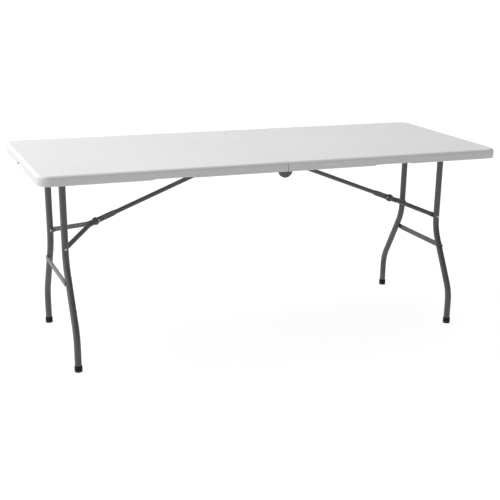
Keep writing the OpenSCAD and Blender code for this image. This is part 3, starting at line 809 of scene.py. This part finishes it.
def brace_tube():
    """Round tube from the rod, squeezed flat from a little before the knee."""
    d, wall, flat_t, flat_h, flat_from, taper, tongue, corner = 17, 1.5, 5, 22, -58, 14, 24, 5
    start, bore, hollow = -STRUT - 10, d - 2 * wall, 45
    stations = [(start + hollow, bore, bore), (start, bore, bore), (start, d - 0.6, d - 0.6),
                (start + 0.4, d, d)]
    stations += [(x, d, d) for x in (start + 200, start + 400, flat_from - taper - 1)]
    for k in range(11):
        blend = smoothstep(k / 10)
        stations.append((flat_from - taper + taper * k / 10, d + (flat_t - d) * blend,
                         d + (flat_h - d) * smoothstep(k / 10 * 0.9 + 0.1)))
    stations += [(-30, flat_t, flat_h), (tongue - corner, flat_t, flat_h)]
    for a in map(math.radians, (18, 36, 54, 72, 86)):
        stations.append((tongue - corner + corner * math.sin(a), flat_t,
                         flat_h - 2 * corner * (1 - math.cos(a))))
    return loft([[(x, p.x, p.y) for p in rounded_box(w, h, min(w, h) / 2 if w > 7 else 2.0)]
                 for x, w, h in stations])


def arm():
    """Arm of the fork: flat eye at the knee, round shank, flat eye at the leg."""
    d, flat_h, r = 18, 20, 10
    knee_y, eye_y = ARM_KNEE_Y + ARM_FLAT_T / 2, ARM_EYE_Y + ARM_FLAT_T / 2
    a, b = Vector((48, 17.5)), Vector((ARM - 25, LEG_Y - 25))
    slope = (b.x - a.x) / (b.y - a.y)
    corners = fillet([(-r, knee_y), (a.x - (a.y - knee_y) * slope, knee_y, 16),
                      (b.x + (eye_y - b.y) * slope, eye_y, 13), (ARM + r, eye_y)], closed=False)
    lengths = [0.0]
    for p, q in zip(corners, corners[1:]):
        lengths.append(lengths[-1] + (q - p).length)
    total = lengths[-1]

    def at(s):
        for i in range(len(corners) - 1):
            if s <= lengths[i + 1] + 1e-6:
                t = (s - lengths[i]) / (lengths[i + 1] - lengths[i])
                return corners[i].lerp(corners[i + 1], t)
        return corners[-1]

    stops = [r - r * math.cos(math.radians(a)) for a in (5, 15, 27, 40, 55, 72, 90)]
    margin, spacing = 14, 3
    stations = stops + [margin + spacing * k for k in range(1, int((total - 2 * margin) / spacing))]
    stations += [total - s for s in reversed(stops)]
    loops = []
    for s in stations:
        near, far = at(max(0, s - 2.5)), at(min(total, s + 2.5))
        along = (far - near).normalized()
        across = Vector((-along.y, along.x))
        full = smoothstep((s - r - 35) / 17) * smoothstep((total - s - r - 13) / 16)
        thick = ARM_FLAT_T + (d - ARM_FLAT_T) * full
        high = flat_h + (d - flat_h) * full
        from_end = min(s, total - s)
        if from_end < r:
            high = 2 * math.sqrt(max(0.01, r * r - (r - from_end) ** 2))
        centre = at(s)
        corner = min(thick, high) / 2 if full > 0.35 else min(1.6, thick / 2, high / 2)
        corner = max(corner, min(thick, high) / 2 * smoothstep(full * 2))
        loops.append([(centre.x + across.x * p.x, centre.y + across.y * p.x, p.y)
                      for p in rounded_box(thick, high, corner)])
    return loft(loops)


def lock_ring():
    outer, bore, long, middle, soft = 15.2, 13.2, 14, 12, 0.9
    lip = [(outer - soft + soft * math.cos(a), long / 2 - soft + soft * math.sin(a))
           for a in map(math.radians, (90, 67, 45, 22, 0))]
    edge = [(bore, long / 2 - 0.3), (bore + 0.3, long / 2), *lip]
    bm = lathe(edge + [(r, -z) for r, z in reversed(edge)], closed=True, sides=64)
    bm.transform(Matrix.Translation((middle, 0, 0)) @ Matrix.Rotation(math.pi / 2, 4, "Y"))
    return bm


def arm_tails():
    y = ARM_EYE_Y
    one = y_lathe([(3, y + ARM_FLAT_T), (3, y), (4.75, y), (4.7, y - 0.7), (4.1, y - 1.7),
                   (3.0, y - 2.3), (2.3, y - 2.1), (2.0, y - 0.4)], sides=32)
    one.transform(Matrix.Translation((ARM, 0, 0)))
    return both_rows(one)


for label, side in SIDES:
    where = side_matrix(side) @ BRACE_FRAME
    place(label + "_strut", brace_tube(), label + "_brace", "frame_steel",
          [label + "_brace_tube"], where, 40)
    for row_label, row in ROWS:
        stem = f"{label}_{row_label}_arm"
        place(stem + "_formed", arm(), label + "_fork", "frame_steel", [stem],
              side_matrix(side, row) @ BRACE_FRAME, 40)
    knee = ARM_KNEE_Y + ARM_FLAT_T
    place(label + "_knee_stud", stud(3, -knee, knee, ((4.75, 2.3), (4.75, 2.3))), label + "_fork",
          "zinc_hardware", [label + "_knee_rivet"], where)
    place(label + "_arm_tails", arm_tails(), label + "_fork", "zinc_hardware",
          [label + "_arm_rivet_tails"], where)
    place(label + "_ring_formed", lock_ring(), label + "_ring", "frame_steel",
          [label + "_lock_ring"], where)

# ------------------------------------------------------------ carry handle

BAIL = (862, 721)
BAIL_Y, BAIL_R, BAIL_REACH, BAIL_D, CLIP_T = 50, 12, 48, 6, 7
BAIL_FRAME = side_matrix(-1) @ Matrix.Translation((BAIL[0], 0, BAIL[1]))


def bail():
    """Bent wire whose two stubs turn in the clips."""
    stub, arm_l, middle = CLIP_T + 1, BAIL_REACH - 2 * BAIL_R, 2 * (BAIL_Y - BAIL_R)
    corner = (BAIL_R, 90)
    line = bent_line(((stub,), corner, (arm_l,), corner, (middle,), corner, (arm_l,), corner,
                      (stub,)), turn=6)
    start = BAIL_Y - BAIL_R - stub
    points = [Vector((-at.x, start + at.y, 0)) for at, _ in line]
    sideways = [Vector((-math.cos(heading), -math.sin(heading), 0)) for _, heading in line]
    return sweep(points, BAIL_D / 2, lambda i: (sideways[i], Vector((0, 0, 1))), sides=24)


def grip():
    """Moulded sleeve with finger grooves."""
    bore, half_l, r, groove, pitch = BAIL_D / 2 + 0.05, 34, 6.5, 0.45, 15
    outer = [(r - 0.9, half_l), (r - 0.2, half_l - 0.5), (r, half_l - 1.4)]
    outer += [(r - groove * (1 - math.cos(2 * math.pi * y / pitch)), y) for y in range(31, -32, -1)]
    outer += [(r, 1.4 - half_l), (r - 0.2, 0.5 - half_l), (r - 0.9, -half_l)]
    bm = y_lathe([(bore, half_l), *outer, (bore, -half_l)], closed=True)
    bm.transform(Matrix.Translation((-BAIL_REACH, 0, 0)))
    return bm


def clips():
    drop = CEILING_Z - BAIL[1]
    outline = fillet([(-7, -6, 5), (7, -6, 5), (7, drop), (-7, drop)])
    one = extrude(outline, -CLIP_T / 2, CLIP_T / 2, "Y", 0.5)
    one = cut(one, y_lathe([(BAIL_D / 2 + 0.05, -6), (BAIL_D / 2 + 0.05, 6)]))
    y = BAIL_Y - BAIL_R - 1 - CLIP_T / 2
    return copies(one, [Matrix.Translation((0, y, 0)), Matrix.Translation((0, -y, 0))])


place("handle_rod", bail(), "carry_handle", "frame_steel", ["handle_bail"], BAIL_FRAME, 40)
place("handle_sleeve", grip(), "carry_handle", "black_plastic", ["handle_grip"], BAIL_FRAME, 50)
place("handle_saddles", clips(), "left_half", "black_plastic", ["handle_clips"], BAIL_FRAME)

# -------------------------------------------------------- floor and lights

# Strength of the sky's two parts: From Min, From Max, To Min and To Max of a smooth ramp,
# over the cosine to LOBE_TOWARDS and over the height of the direction looked in
LOBE_TOWARDS = (-0.34, 0.42, 0.68)
LOBE_RAMP = (0.1, 0.9, 0.0, 1.76)
HORIZON_RAMP = (0.08, 0.34, 1.02, 0.04)
# Name, place in metres and watts
PANELS = (("high_panel", (-2.8, 1.1, 4.0), 102), ("low_panel", (-3.9, 0.2, 0.6), 22))
PANEL_D, PANELS_FACE = 1.3, Vector((0, 0, 0.55))


def floor():
    """Pale floor, most of whose brightness is its own glow, so that it stays even."""
    reach = 120
    bm = bmesh.new()
    bmesh.ops.create_grid(bm, x_segments=1, y_segments=1, size=reach)
    me = bpy.data.meshes.new("floor")
    bm.to_mesh(me)
    bm.free()
    s = Shader("floor_paint", Roughness=0.9, Specular_IOR_Level=0.1, Emission_Strength=0.83)
    s.bsdf.inputs["Emission Color"].default_value = (1, 1, 1, 1)
    s.link(s.mix(s.span(s.noise(1.5, 3), 0.3, 0.7), grey(0.20), grey(0.22)), "Base Color")
    me.materials.append(s.material)
    ob = bpy.data.objects.new("floor", me)
    bpy.context.scene.collection.objects.link(ob)


def lights():
    """A broad soft sky patch behind and to the left, a pale horizon and two panels."""
    world = bpy.data.worlds.new("studio")
    bpy.context.scene.world = world
    world.use_nodes = True
    tree = world.node_tree
    direction = tree.nodes.new("ShaderNodeTexCoord").outputs["Generated"]
    dot = tree.nodes.new("ShaderNodeVectorMath")
    dot.operation = "DOT_PRODUCT"
    dot.inputs[1].default_value = Vector(LOBE_TOWARDS).normalized()
    tree.links.new(direction, dot.inputs[0])
    height = tree.nodes.new("ShaderNodeSeparateXYZ")
    tree.links.new(direction, height.inputs[0])
    brightest = tree.nodes.new("ShaderNodeMath")
    brightest.operation = "MAXIMUM"
    for socket, source, span in ((0, dot.outputs["Value"], LOBE_RAMP),
                                 (1, height.outputs["Z"], HORIZON_RAMP)):
        ramp = tree.nodes.new("ShaderNodeMapRange")
        ramp.interpolation_type = "SMOOTHSTEP"
        for key, value in zip(RAMP_KEYS, span):
            ramp.inputs[key].default_value = value
        tree.links.new(source, ramp.inputs["Value"])
        tree.links.new(ramp.outputs["Result"], brightest.inputs[socket])
    background = tree.nodes["Background"]
    background.inputs["Color"].default_value = (1, 1, 1, 1)
    tree.links.new(brightest.outputs["Value"], background.inputs["Strength"])
    for name, at, watts in PANELS:
        lamp = bpy.data.lights.new(name, "AREA")
        lamp.shape, lamp.size, lamp.energy = "DISK", PANEL_D, watts
        panel = bpy.data.objects.new(name, lamp)
        panel.location = at
        panel.rotation_euler = (PANELS_FACE - panel.location).to_track_quat("-Z", "Y").to_euler()
        bpy.context.scene.collection.objects.link(panel)
    bpy.context.scene.view_settings.view_transform = "Standard"


floor()
lights()

slots = {part["node"]: part["material_slot"] for part in frame["record"]["subparts"]}
for name, node in frame["nodes"].items():
    node.data.materials.clear()
    node.data.materials.append(MATERIALS[slots[name]])
